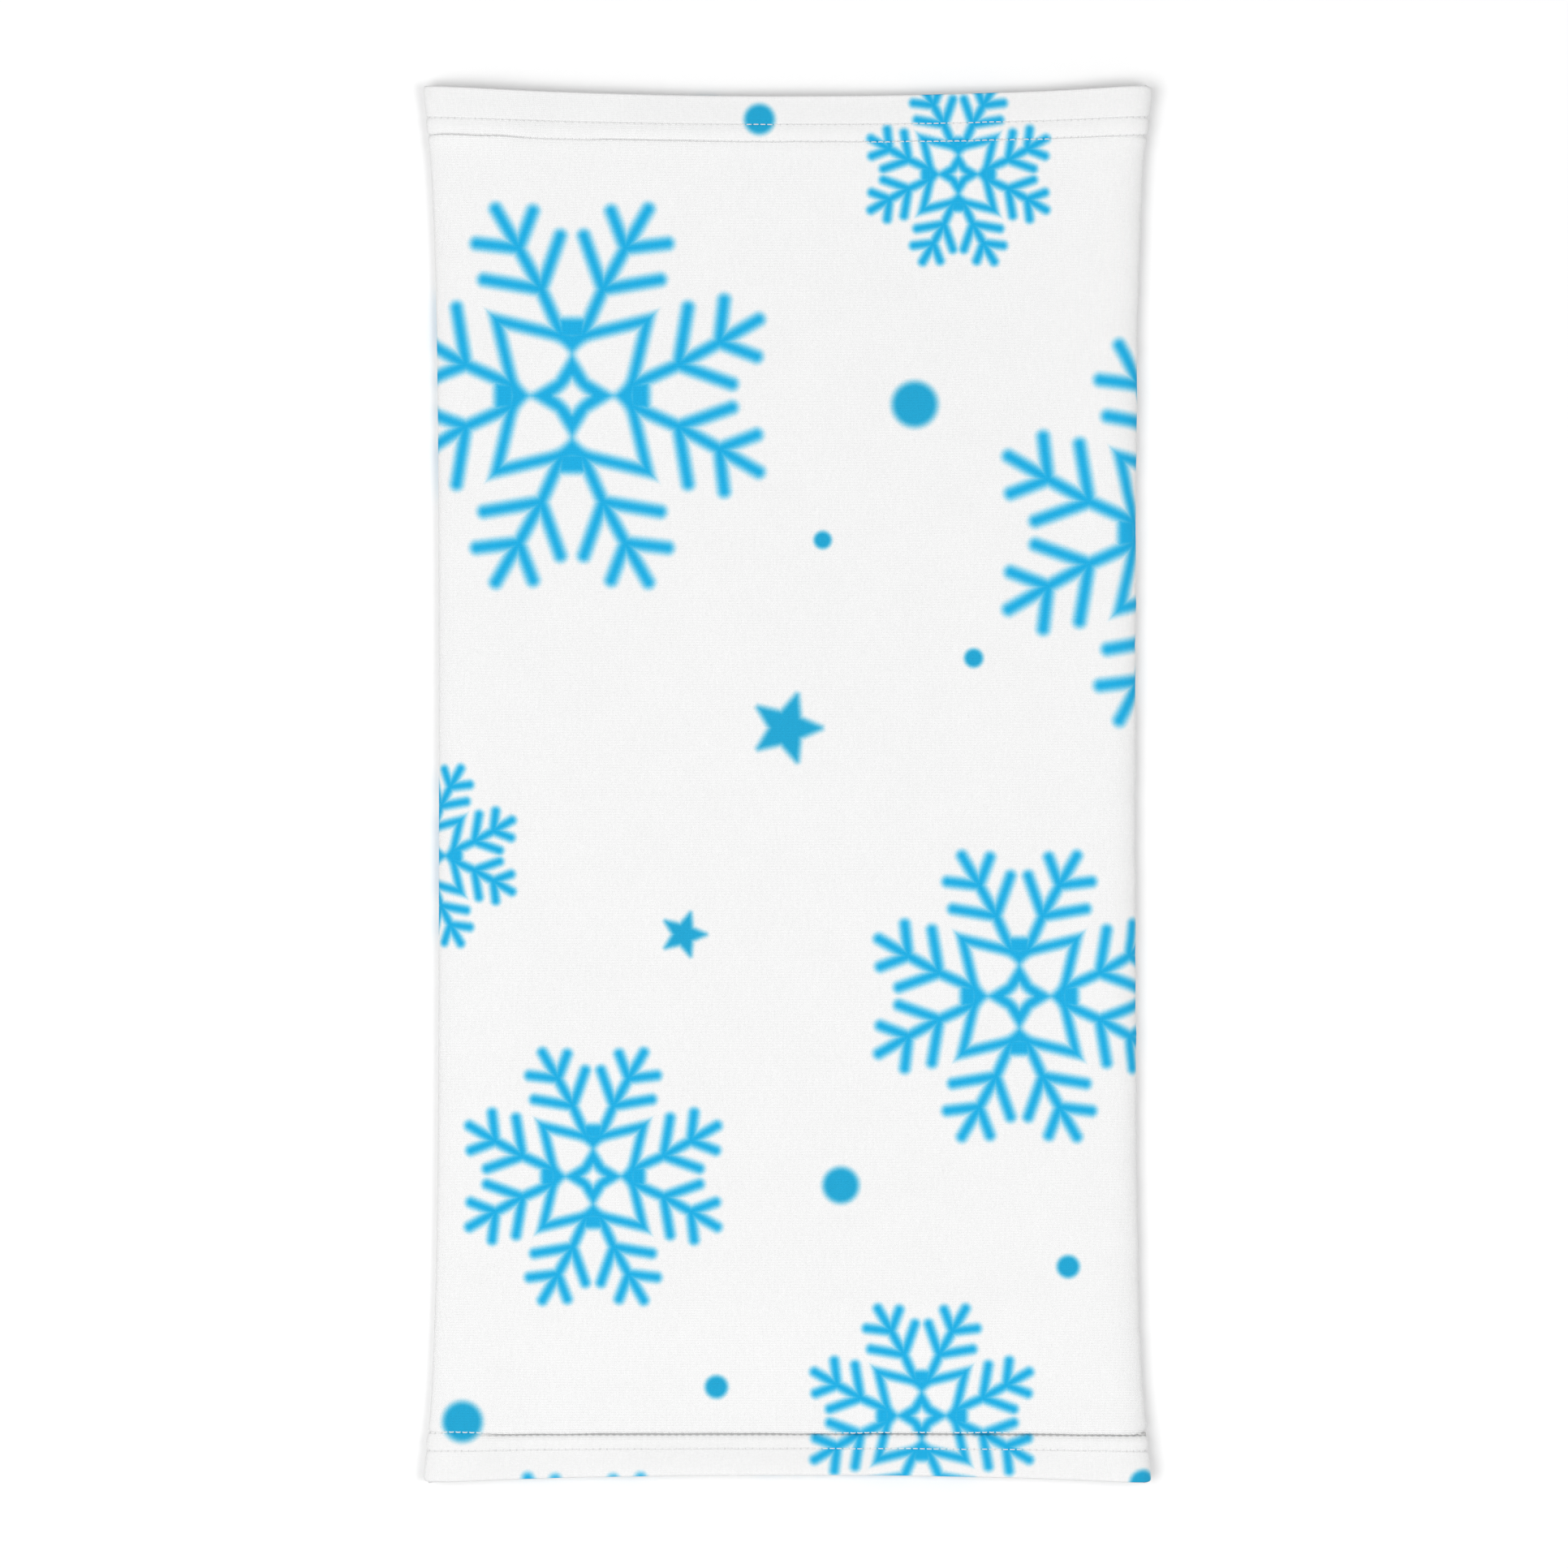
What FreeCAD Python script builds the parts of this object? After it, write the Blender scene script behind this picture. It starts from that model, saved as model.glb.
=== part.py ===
"""Neck gaiter: a printed jersey tube for skiing, lying flat and slightly puffed up.

One panel of jersey is folded at the left edge (-X) and closed at the right edge (+X) by an
overlock seam whose allowance lies inside.  Both ends are turned in and coverstitched with two
needle threads outside and one looper thread inside.

Millimetres.  X runs across the tube, +Y towards its top end, +Z up.  The origin is on the
surface that the tube lies on, under the middle of its box.
"""

import FreeCAD, Part
import math
import os

from FreeCAD import Vector

# The tube as it lies
length = 484.0  # along the two side edges
hem_width = 252.0  # across either end
waist_width = 241.5  # across the middle, where it is narrowest
flare_fade = 46.0  # the flare fades by 1/e over this distance from each end
lay_height = 10.0  # from the surface below to the top of the upper layer
edge_height = 4.4  # height of the left fold and of the seam
top_dip = 3.7  # how far the middle of the top end lies inside its corners
bottom_dip = 2.6  # the same at the bottom end

# How far from each side edge the cloth has rounded over
fold_reach_above = 26.0
fold_reach_below = 7.0
seam_reach_above = 10.0
seam_reach_below = 6.0

# Cloth and hems
cloth = 0.65
outer_row = 11.6  # from the end to the outer needle row
needle_gauge = 6.4  # between the two needle rows
raw_edge_lap = 0.6  # turned-in cloth past the inner needle row

# Side seam
seam_allowance = 6.0
seam_row_inset = 1.4  # from the seam line to the left needle row
seam_needle_gauge = 2.2
seam_end_gap = 0.4  # between the seam allowance and each hem's turned-in cloth

# Threads
thread_width = 0.36
thread_height = 0.28
stitch_pitch = 2.4
stitch_length = 1.7
seam_pitch = 2.5
seam_stitch_length = 1.5
thread_gap = 0.02  # between a thread and the cloth under it
thread_sink = 0.02  # how far a needle thread lies below the face of the cloth
dimple_margin = 0.12  # cloth pulled in on each side of a needle row

# Construction
sections = 17  # of each loft along the tube
stitch_steps = 6  # straight steps that follow the cloth over one stitch pitch
looper_steps = 2  # of those steps, how many the looper moves on as it crosses the hem
margin = 12.0  # how far the cutting solids run past the tube

# What follows from these
inner_row = outer_row + needle_gauge
hem_depth = inner_row + raw_edge_lap  # cloth turned in at each end
dimple_width = thread_width + 2 * dimple_margin
dimple_depth = thread_sink + thread_height + thread_gap
right_seam_row = seam_row_inset + seam_needle_gauge


# ---- the tube's form -------------------------------------------------------


def half_width(y):
    """Half the outer width: the waist plus a flare that fades away from each end."""
    flare = (hem_width - waist_width) / 2
    near_top = math.exp(-(length / 2 - y) / flare_fade)
    near_bottom = math.exp(-(length / 2 + y) / flare_fade)
    return waist_width / 2 + flare * (near_top + near_bottom)


def loft(wire_at):
    """A solid through the closed wires that wire_at(y) gives along the tube.

    The sections are closer together near the ends, where the flare is.
    """
    reach = length / 2 + margin
    turns = [math.pi * i / (sections - 1) for i in range(sections)]
    return Part.makeLoft([wire_at(-reach * math.cos(turn)) for turn in turns], True, False)


def quarter_ellipse(centre, reach, rise, falling=False):
    """From centre + reach along X up to centre + rise along Z, or back if falling."""
    side = centre + Vector(reach, 0, 0)
    poles = [side, side + Vector(0, 0, rise), centre + Vector(0, 0, rise)]
    if falling:
        poles.reverse()
    curve = Part.BezierCurve()
    curve.setPoles(poles)
    curve.setWeight(2, math.sqrt(0.5))
    return curve.toShape()


def layer_path(y, above, inset):
    """One layer's line across the tube at y, from the left fold to the seam, drawn inwards."""
    half = half_width(y)
    fold_reach = fold_reach_above if above else fold_reach_below
    seam_reach = seam_reach_above if above else seam_reach_below
    rise = lay_height - edge_height - inset if above else inset - edge_height
    left = Vector(fold_reach - half, y, edge_height)
    right = Vector(half - seam_reach, y, edge_height)
    crest = Vector(0, 0, rise)
    fold = quarter_ellipse(left, inset - fold_reach, rise)
    flat = Part.makeLine(left + crest, right + crest)
    seam = quarter_ellipse(right, seam_reach - inset, rise, falling=True)
    return [fold, flat, seam]


def closed_wire(edges):
    return Part.Wire(Part.__sortEdges__(edges))


def layer(above, outside, inside):
    """The upper or lower layer of the tube between two insets from its outer surface."""

    def wire_at(y):
        outer = layer_path(y, above, outside)
        inner = layer_path(y, above, inside)
        fold_end = Part.makeLine(outer[0].firstVertex().Point, inner[0].firstVertex().Point)
        seam_end = Part.makeLine(outer[2].lastVertex().Point, inner[2].lastVertex().Point)
        return closed_wire(outer + [seam_end] + inner + [fold_end])

    return loft(wire_at)


def tube(inset):
    """Everything within the tube's outer surface, drawn in by inset."""
    return loft(lambda y: closed_wire(layer_path(y, True, inset) + layer_path(y, False, inset)))


def end_y(top, distance, x):
    """The y at x of the line that runs at a distance inside the top or bottom end."""
    dip = top_dip if top else bottom_dip
    radius = hem_width**2 / (8 * dip) + dip / 2
    inside = length / 2 - dip + radius - math.sqrt(radius**2 - x**2) - distance
    return inside if top else -inside


def end_curve(top, distance):
    """That line as an arc, past both side edges, below the tube."""
    reach = hem_width / 2 + margin
    ends = [Vector(x, end_y(top, distance, x), -margin) for x in (-reach, 0, reach)]
    return Part.Arc(*ends).toShape()


def between(first, second):
    """The space above and between two end curves."""
    left = Part.makeLine(first.firstVertex().Point, second.firstVertex().Point)
    right = Part.makeLine(first.lastVertex().Point, second.lastVertex().Point)
    face = Part.Face(closed_wire([first, right, second, left]))
    return face.extrude(Vector(0, 0, lay_height + 2 * margin))


def hem_band(top, start, stop):
    """The space between two distances from one end."""
    return between(end_curve(top, start), end_curve(top, stop))


# ---- cloth -----------------------------------------------------------------


def panel(above):
    """The front or back half of the jersey panel, dimpled along its needle rows."""
    shape = layer(above, 0, cloth).common(between(end_curve(True, 0), end_curve(False, 0)))
    dimple = layer(above, -cloth, dimple_depth)
    for top in (True, False):
        for row in (outer_row, inner_row):
            band = hem_band(top, row - dimple_width / 2, row + dimple_width / 2)
            shape = shape.cut(dimple.common(band))
    return shape


def with_rest_face(back):
    """The back panel with the middle of its underside as one true plane, to rest on."""
    size_x = waist_width - fold_reach_below - seam_reach_below
    size_y = length - 2 * (hem_depth + max(top_dip, bottom_dip))
    corner = Vector(fold_reach_below - waist_width / 2, -size_y / 2, 0)
    opening = Part.makeBox(size_x, size_y, 3 * cloth, corner - Vector(0, 0, cloth))
    return back.cut(opening).fuse(Part.makeBox(size_x, size_y, cloth, corner))


def turned_in_hem(top):
    """The cloth turned in at one end, lying against the inside of the panel all round."""
    ring = tube(cloth).cut(tube(2 * cloth))
    return ring.common(hem_band(top, 0, hem_depth))


def side_allowance():
    """The panel's two raw edges, lying together inside the seam."""

    def wire_at(y):
        seam_line = half_width(y) - cloth
        low, high = edge_height - cloth, edge_height + cloth
        start, stop = seam_line + margin, seam_line - seam_allowance
        corners = [(start, low), (start, high), (stop, high), (stop, low), (start, low)]
        return Part.makePolygon([Vector(x, y, z) for x, z in corners])

    inside_hems = hem_depth + seam_end_gap
    free = between(end_curve(True, inside_hems), end_curve(False, inside_hems))
    return loft(wire_at).common(tube(cloth)).common(free)


# ---- threads ---------------------------------------------------------------


def bar(start, stop, normal):
    """A straight run of thread from start to stop, lying on the side that normal leaves."""
    along = stop - start
    across = along.cross(normal).normalize() * (thread_width / 2)
    corners = [start + across, stop + across, stop - across, start - across, start + across]
    return Part.Face(Part.makePolygon(corners)).extrude(normal * thread_height)


def row_line(top, above, distance, inset):
    """A row's line across one layer, from the left fold to the seam."""
    y = end_y(top, distance, hem_width / 2)
    return Part.Wire(layer_path(y, above, inset))


def stitch_count(above):
    return int(row_line(True, above, outer_row, 0).Length / stitch_pitch)


def needle_row(top, distance):
    """A needle thread where it shows: one short stitch after another, all round the hem."""
    stitches = []
    low = dimple_depth - thread_gap
    shown = round(stitch_steps * stitch_length / stitch_pitch)
    for above in (True, False):
        count = stitch_count(above) * stitch_steps + 1
        inner = row_line(top, above, distance, low).discretize(Number=count)
        outer = row_line(top, above, distance, low - thread_height).discretize(Number=count)
        first = (stitch_steps - shown) // 2
        for i in range(first, count - shown, stitch_steps):
            under = inner[i : i + shown + 1]
            over = outer[i : i + shown + 1]
            middle = under[shown // 2]
            y = end_y(top, distance, middle.x)
            widening = half_width(y) / half_width(middle.y)
            near_side = y - thread_width / 2
            outline = under + over[::-1] + under[:1]
            corners = [Vector(widening * p.x, near_side, p.z) for p in outline]
            side = Part.Face(Part.makePolygon(corners))
            stitches.append(side.extrude(Vector(0, thread_width, 0)))
    return Part.makeCompound(stitches)


def hem_looper(top):
    """The looper thread on the inside of a hem, crossing between its two needle rows."""
    spans = []
    inset = 2 * cloth + thread_gap
    rows = (outer_row, inner_row)
    for above in (True, False):
        count = stitch_count(above) * stitch_steps + 1
        lines = [row_line(top, above, row, inset).discretize(Number=count) for row in rows]
        for i in range(0, count - looper_steps, stitch_steps):
            start = lines[0][i]
            stop = lines[1][i + looper_steps]
            row_way = lines[0][i + looper_steps] - start
            inward = Vector(row_way.z, 0, -row_way.x).normalize() * (1 if above else -1)
            for point, row in ((start, outer_row), (stop, inner_row)):
                y = end_y(top, row, point.x)
                point.x *= half_width(y) / half_width(point.y)
                point.y = y
            spans.append(bar(start, stop, inward))
    return Part.makeCompound(spans)


def seam_stations():
    """The y of each stitch of the overlock, clear of the turned-in hems."""
    free = length - 2 * (hem_depth + seam_end_gap) - seam_pitch
    count = int(free / seam_pitch)
    return [(i - (count - 1) / 2) * seam_pitch for i in range(count)]


def seam_point(y, distance, above):
    """A point on the allowance, at a distance inside the seam line."""
    side = 1 if above else -1
    z = edge_height + side * (cloth + thread_gap)
    return Vector(half_width(y) - cloth - distance, y, z)


def seam_needle(distance):
    """One needle thread of the overlock, as its stitches show on the allowance."""
    half = seam_stitch_length / 2
    stitches = []
    for y in seam_stations():
        start = seam_point(y - half, distance, True)
        stop = seam_point(y + half, distance, True)
        stitches.append(bar(start, stop, Vector(0, 0, 1)))
    return Part.makeCompound(stitches)


def seam_looper(above):
    """A looper thread of the overlock, crossing one face of the allowance between stitches."""
    first = seam_row_inset if above else right_seam_row
    spans = []
    for y in seam_stations():
        between_stitches = y + seam_pitch / 2
        start = seam_point(between_stitches, first, above)
        stop = seam_point(between_stitches, seam_allowance, above)
        normal = Vector(0, 0, 1 if above else -1)
        spans.append(bar(start, stop, normal))
    return Part.makeCompound(spans)


# ---- the sub-parts ---------------------------------------------------------


def sub_parts():
    parts = {
        "front_panel": panel(above=True),
        "back_panel": with_rest_face(panel(above=False)),
        "side_seam_allowance": side_allowance(),
        "side_seam_left_needle_thread": seam_needle(seam_row_inset),
        "side_seam_right_needle_thread": seam_needle(right_seam_row),
        "side_seam_upper_looper_thread": seam_looper(above=True),
        "side_seam_lower_looper_thread": seam_looper(above=False),
    }
    for name, top in (("top", True), ("bottom", False)):
        parts[name + "_hem_turned_in"] = turned_in_hem(top)
        parts[name + "_hem_outer_needle_thread"] = needle_row(top, outer_row)
        parts[name + "_hem_inner_needle_thread"] = needle_row(top, inner_row)
        parts[name + "_hem_looper_thread"] = hem_looper(top)
    return parts


def main():
    os.makedirs("parts", exist_ok=True)
    for name, shape in sub_parts().items():
        shape.exportStep(os.path.join("parts", name + ".step"))
        box = shape.optimalBoundingBox(True, False)
        print(f"{name}: {len(shape.Solids)} solids, {shape.Volume:.1f} mm3, "
              f"x {box.XMin:.2f} {box.XMax:.2f}, y {box.YMin:.2f} {box.YMax:.2f}, "
              f"z {box.ZMin:.2f} {box.ZMax:.2f}")


main()
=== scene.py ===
"""Neck gaiter: a printed jersey tube that lies flat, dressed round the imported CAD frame.

The jersey is one continuous sheet with a printed side and a plain side.  It starts at the raw
edge of the turned-in top hem, folds round the top end, runs down the tube, folds round the
bottom end and stops at the raw edge of the bottom hem.  Across the tube it starts and stops at
the seam allowance inside the right edge.  Every seam and hem thread is one continuous strand.

Shapes are worked out in millimetres and made in metres.
"""

import math

import bpy
import numpy as np
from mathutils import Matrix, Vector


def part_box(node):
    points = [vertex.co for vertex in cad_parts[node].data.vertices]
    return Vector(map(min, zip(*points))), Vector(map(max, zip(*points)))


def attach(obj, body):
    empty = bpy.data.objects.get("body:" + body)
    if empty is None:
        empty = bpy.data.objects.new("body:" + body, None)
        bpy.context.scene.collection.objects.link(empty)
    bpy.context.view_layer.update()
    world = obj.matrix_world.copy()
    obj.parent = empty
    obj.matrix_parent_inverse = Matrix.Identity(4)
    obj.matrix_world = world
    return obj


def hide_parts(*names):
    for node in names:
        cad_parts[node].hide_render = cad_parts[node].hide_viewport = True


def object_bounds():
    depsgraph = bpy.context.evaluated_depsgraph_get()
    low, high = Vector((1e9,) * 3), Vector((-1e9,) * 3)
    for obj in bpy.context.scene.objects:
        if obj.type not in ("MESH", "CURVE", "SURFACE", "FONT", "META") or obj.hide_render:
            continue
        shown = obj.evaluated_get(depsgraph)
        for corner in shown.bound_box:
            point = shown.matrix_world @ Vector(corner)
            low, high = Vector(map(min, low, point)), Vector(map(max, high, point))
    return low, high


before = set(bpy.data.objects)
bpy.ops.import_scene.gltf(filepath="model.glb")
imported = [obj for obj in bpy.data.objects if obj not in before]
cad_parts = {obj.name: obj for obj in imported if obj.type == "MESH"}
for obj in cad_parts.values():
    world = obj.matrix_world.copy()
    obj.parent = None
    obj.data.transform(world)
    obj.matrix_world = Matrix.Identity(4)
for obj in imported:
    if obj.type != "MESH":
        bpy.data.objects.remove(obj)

cad_low, cad_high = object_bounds()

MM = 0.001

# ---- sizes, in millimetres ---------------------------------------------------------------

# From the frame
LENGTH = (cad_high.y - cad_low.y) / MM
HEM_WIDTH = (cad_high.x - cad_low.x) / MM
LAY_HEIGHT = cad_high.z / MM
EDGE_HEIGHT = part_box("front_panel")[0].z / MM
THREAD = 0.36
HEM_THREAD = 0.40  # a needle thread swells where it lies loose on the hem


def row_distance(node):
    """How far a needle row lies from the top end, from the box of its thread."""
    return (cad_high.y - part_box(node)[1].y) / MM + THREAD / 2


OUTER_ROW = row_distance("top_hem_outer_needle_thread")
INNER_ROW = row_distance("top_hem_inner_needle_thread")

# The tube's form, as in the CAD
WAIST_WIDTH = 241.5
FLARE_FADE = 46.0
TOP_DIP = 3.7
BOTTOM_DIP = 2.6
FOLD_REACH_ABOVE = 26.0
FOLD_REACH_BELOW = 7.0
SEAM_REACH_ABOVE = 10.0
SEAM_REACH_BELOW = 6.0
HEM_DEPTH = INNER_ROW + 0.6
ALLOWANCE = 6.0

# Cloth
CLOTH = 0.65
SHEET = 0.62  # one layer, with a hair of air left beside it
LIP = 0.75  # radius of each rounded lip beside the seam
INNER_LIP = 0.1  # the same on the turned-in cloth, which lies tight in the corner
SEAM_GAP = 0.03  # from the seam plane to the printed side of either edge
WALE = 0.75  # knitted columns
COURSE = 0.55  # knitted rows

# Stitches
PITCH = 2.4
SEAM_PITCH = 2.5
SEAM_ROW = 1.4  # from the seam line to the left needle row
SEAM_GAUGE = 2.2
SEAM_STEPS = 6  # points along one stitch of the overlock
TIGHT_RADIUS = 0.11  # of a thread drawn tight in its needle hole
TIGHT_BELOW = -0.3  # height over the cloth below which it is drawn tight
LIP_OFFSET = 0.4  # the inner needle thread lies this far past its row, on the crease's lip
PRESSED_IN = -0.03  # the greatest height of the stitches on the underside

# The needle rows run straighter than the ends and are drawn towards them
DRAWN_ROWS = 1.0  # everywhere
DRAWN_TOP = 1.4  # and this much more in the middle of the top end
DRAWN_BOTTOM = 2.2
DRAWN_RISE = 17.0  # distance from the end over which the pull builds up
DRAWN_FADE = 45.0  # the body takes it up over this distance past the inner row

# Mesh
FINE = 0.8  # column spacing on the front beside the needle rows
COARSE_STEP = 4  # every fourth of those columns elsewhere
BACK_STEP = 3.2
BODY_STEP = 4.8

# ---- the print, in millimetres on the cloth ----------------------------------------------

# U runs across the cloth and is X on the front; beyond the left fold it goes on over the
# back.  V is Y.  Each flake is (u, v, radius).
FLAKES = (
    (-74.5, 134.5, 66.0),
    (59.3, 211.2, 30.9),
    (141.6, 87.0, 66.3),
    (-125.6, -24.9, 30.9),
    (80.4, -73.5, 49.7),
    (-67.2, -135.9, 43.8),
    (46.6, -218.8, 37.9),
    (-70.3, -288.2, 48.9),
    (-196.0, 196.0, 30.9),
    (-262.0, 108.0, 62.0),
    (-176.0, 42.0, 38.0),
    (-315.0, -8.0, 38.0),
    (-222.0, -78.0, 54.0),
    (-316.0, -158.0, 34.0),
    (-180.0, -196.0, 44.0),
    (-272.0, -228.0, 36.0),
    (-322.0, 176.0, 30.0),
)
DOTS = (
    (-9.6, 230.2, 5.2),
    (44.2, 131.5, 7.85),
    (12.3, 84.5, 3.0),
    (64.6, 43.6, 3.2),
    (18.6, -139.0, 6.2),
    (97.3, -167.1, 3.85),
    (-24.5, -208.8, 3.9),
    (-112.5, -220.8, 6.95),
    (123.0, -241.8, 4.3),
    (-228.0, 10.0, 3.2),
    (-312.0, -98.0, 7.85),
    (-236.0, -152.0, 3.9),
    (-150.0, -100.0, 4.3),
    (-160.0, 96.0, 6.2),
    (-248.0, 206.0, 6.95),
    (-292.0, 186.0, 3.0),
    (-222.0, 236.0, 3.85),
    (-322.0, 74.0, 5.2),
    (-138.0, -160.0, 3.2),
)
STARS = (
    (-0.25, 19.4, 13.6),
    (-35.9, -52.1, 8.8),
    (-262.0, 16.0, 13.5),
    (-276.0, -166.0, 8.8),
)
STAR_WAIST = 0.463  # inner radius of a star over its outer one
STAR_TIP = 0.92  # how far its blunted tips reach, over the same

# One eighth of a flake of radius 235, as (along the diagonal's near axis, along the arm)
FLAKE_SIZE = 235.0
STROKE = 7.3  # half the width of a stroke
STEM = ((13.7, 76.0), (38.0, 131.0), (65.7, 181.5), (94.0, 230.0))
TWIGS = (
    ((38.0, 131.0), (14.6, 197.0)),
    ((38.0, 131.0), (108.6, 143.0)),
    ((65.7, 181.5), (48.3, 227.4)),
    ((65.7, 181.5), (117.8, 187.6)),
)
FRAME_LINE = ((14.0, 73.9), (99.4, 94.4))
FRAME_STROKE = 6.9
HUB_HALF = 17.0
HUB_FROM = 70.0
HUB_TO = 95.7
PETAL_SIDE = ((3.0, 47.5), (20.0, 19.5))
PETAL_NECK = 1.6  # half the width of the ink between two petals
PETAL_ROUND = 8.0
PETAL_CHAMFER = 51.5  # where its cut outer corner meets the axis
PETAL_CUT = 25.5  # from the middle to the cut corner of a petal
CORE_CENTRE = 62.0
CORE_RADIUS = 74.3
CORE_REACH = 21.0

# Half the width over which ink fades at its edge, and how much that grows with the radius
FLAKE_FADE = (0.90, 0.0165)
DOT_FADE = (0.70, 0.16)
STAR_FADE = (0.85, 0.06)
STAR_ROUND = 0.6  # rounding of a star's blunted tips, as a share of its fade
INK_SPREAD = (0.93, 0.014)  # how far ink spreads, and how much less a larger flake's does

# The shade painted in the bottom crease
SLOT_OFFSET = 0.75  # from the inner row to the slot, towards the end
SLOT_BEGINS = (-112.0, -97.0)  # it rises over this stretch of the front
SLOT_SCALLOP = 0.12
SLOT_DEEP = 0.42
SLOT_SOFT = 0.08
HOLE_DARK = 0.42  # and at each needle hole

# ---- colours, linear ---------------------------------------------------------------------

WHITE = (0.862, 0.862, 0.862)
PLAIN_WHITE = (0.83, 0.828, 0.82)
FLAKE_INK = (0.011, 0.401, 0.732)
DOT_INK = (0.014, 0.361, 0.622)
THREAD_WHITE = (0.90, 0.90, 0.90)
EYE_GAMMA = 2.2
FLOOR_WHITE = (0.88, 0.88, 0.88)
SHOW_THROUGH = 0.07  # how strongly the print shows on the plain side

# Noise in the cloth: scale for a millimetre, detail and roughness
FUZZ = (2.6, 3.0, 0.6)
MOTTLE = (0.055, 3.0, 0.55)
GRAIN = (1.1, 2.0, 0.6)
BLEED = (1.7, 2.0, 0.5)
STREAK = (1.0, 2.0, 0.5)
STREAK_STRETCH = (1.3, 0.16, 0.0)
HOLE_NOISE = (0.9, 2.0, 0.5)
THREAD_NOISE = (1.4, 2.0, 0.5)

# Height of the bumps, in millimetres
PRINTED_BUMP = 0.10
PLAIN_BUMP = 0.12
TWIST_BUMP = 0.03


# ---- camera and light --------------------------------------------------------------------

VIEW_WIDTH = 542.9
VIEW_CENTRE_X = -1.1
CAMERA_HEIGHT = 3000.0
SKY = 0.46
LIGHTS = (  # name, place and size in metres, power
    ("key", (-0.9, -0.3, 2.2), 1.5, 32.0),
    ("fill", (0.9, -0.2, 2.2), 0.9, 18.0),
)


def add_camera():
    """Straight above, with the photographed side up."""
    data = bpy.data.cameras.new("camera")
    data.sensor_width = 36.0
    data.lens = data.sensor_width * CAMERA_HEIGHT / VIEW_WIDTH
    data.clip_start = 0.1
    data.clip_end = 50.0
    camera = bpy.data.objects.new("camera", data)
    camera.location = (VIEW_CENTRE_X * MM, 0, cad_high.z + CAMERA_HEIGHT * MM)
    bpy.context.collection.objects.link(camera)
    bpy.context.scene.camera = camera


def add_area_light(name, place, size, power):
    """A square soft box that faces the middle of the object."""
    data = bpy.data.lights.new(name, "AREA")
    data.shape = "SQUARE"
    data.size = size
    data.energy = power
    light = bpy.data.objects.new(name, data)
    light.location = place
    direction = -light.location.normalized()
    light.rotation_mode = "QUATERNION"
    light.rotation_quaternion = direction.to_track_quat("-Z", "Y")
    bpy.context.collection.objects.link(light)


def add_world(strength):
    world = bpy.data.worlds.new("studio")
    world.use_nodes = True
    background = world.node_tree.nodes["Background"]
    background.inputs["Color"].default_value = (1, 1, 1, 1)
    background.inputs["Strength"].default_value = strength
    bpy.context.scene.world = world


# ---- shader formulas ---------------------------------------------------------------------


class Field:
    """A number or vector worked out by shader nodes, so that a pattern reads as a formula."""

    def __init__(self, tree, socket):
        self.tree = tree
        self.socket = socket

    def math(self, operation, *others, clamp=False):
        node = self.tree.nodes.new("ShaderNodeMath")
        node.operation = operation
        node.use_clamp = clamp
        return self.wire(node, others)

    def vector(self, operation, *others, scale=None):
        node = self.tree.nodes.new("ShaderNodeVectorMath")
        node.operation = operation
        if scale is not None:
            plug(self.tree, node.inputs["Scale"], scale)
        out = "Value" if operation in ("LENGTH", "DISTANCE", "DOT_PRODUCT") else "Vector"
        return self.wire(node, others, out)

    def wire(self, node, others, out=0):
        for socket, value in zip(node.inputs, (self, *others)):
            plug(self.tree, socket, value)
        return Field(self.tree, node.outputs[out])

    def __add__(self, other):
        return self.math("ADD", other)

    def __sub__(self, other):
        return self.math("SUBTRACT", other)

    def __rsub__(self, other):
        return self.math("MULTIPLY_ADD", -1.0, other)

    def __mul__(self, other):
        return self.math("MULTIPLY", other)

    def __truediv__(self, other):
        return self.math("DIVIDE", other)

    def __neg__(self):
        return self.math("MULTIPLY", -1.0)

    __radd__ = __add__
    __rmul__ = __mul__

    def min(self, other):
        return self.math("MINIMUM", other)

    def max(self, other):
        return self.math("MAXIMUM", other)

    def abs(self):
        return self.math("ABSOLUTE")

    def part(self, axis):
        node = self.tree.nodes.new("ShaderNodeSeparateXYZ")
        plug(self.tree, node.inputs[0], self)
        return Field(self.tree, node.outputs[axis])

    def step(self, low, high):
        """0 below low and 1 above high, with a smooth rise between; falls if low > high."""
        node = self.tree.nodes.new("ShaderNodeMapRange")
        node.interpolation_type = "SMOOTHSTEP"
        ends = ((low, high, 0.0, 1.0) if low < high else (high, low, 1.0, 0.0))
        for socket, value in zip(node.inputs, (self, *ends)):
            plug(self.tree, socket, value)
        return Field(self.tree, node.outputs["Result"])

    def pick(self, yes, no, vector=False):
        """yes where this is 1 and no where it is 0."""
        node = self.tree.nodes.new("ShaderNodeMix")
        node.data_type = "VECTOR" if vector else "FLOAT"
        a, b, out = (4, 5, 1) if vector else (2, 3, 0)
        plug(self.tree, node.inputs[0], self)
        plug(self.tree, node.inputs[a], no)
        plug(self.tree, node.inputs[b], yes)
        return Field(self.tree, node.outputs[out])


def plug(tree, socket, value):
    if isinstance(value, Field):
        tree.links.new(value.socket, socket)
    else:
        socket.default_value = value


def join_xy(x, y):
    node = x.tree.nodes.new("ShaderNodeCombineXYZ")
    plug(x.tree, node.inputs[0], x)
    plug(x.tree, node.inputs[1], y)
    return Field(x.tree, node.outputs[0])


def mix_colour(amount, under, over):
    node = amount.tree.nodes.new("ShaderNodeMix")
    node.data_type = "RGBA"
    plug(amount.tree, node.inputs[0], amount)
    plug(amount.tree, node.inputs[6], under)
    plug(amount.tree, node.inputs[7], over)
    return Field(amount.tree, node.outputs[2])


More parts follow.
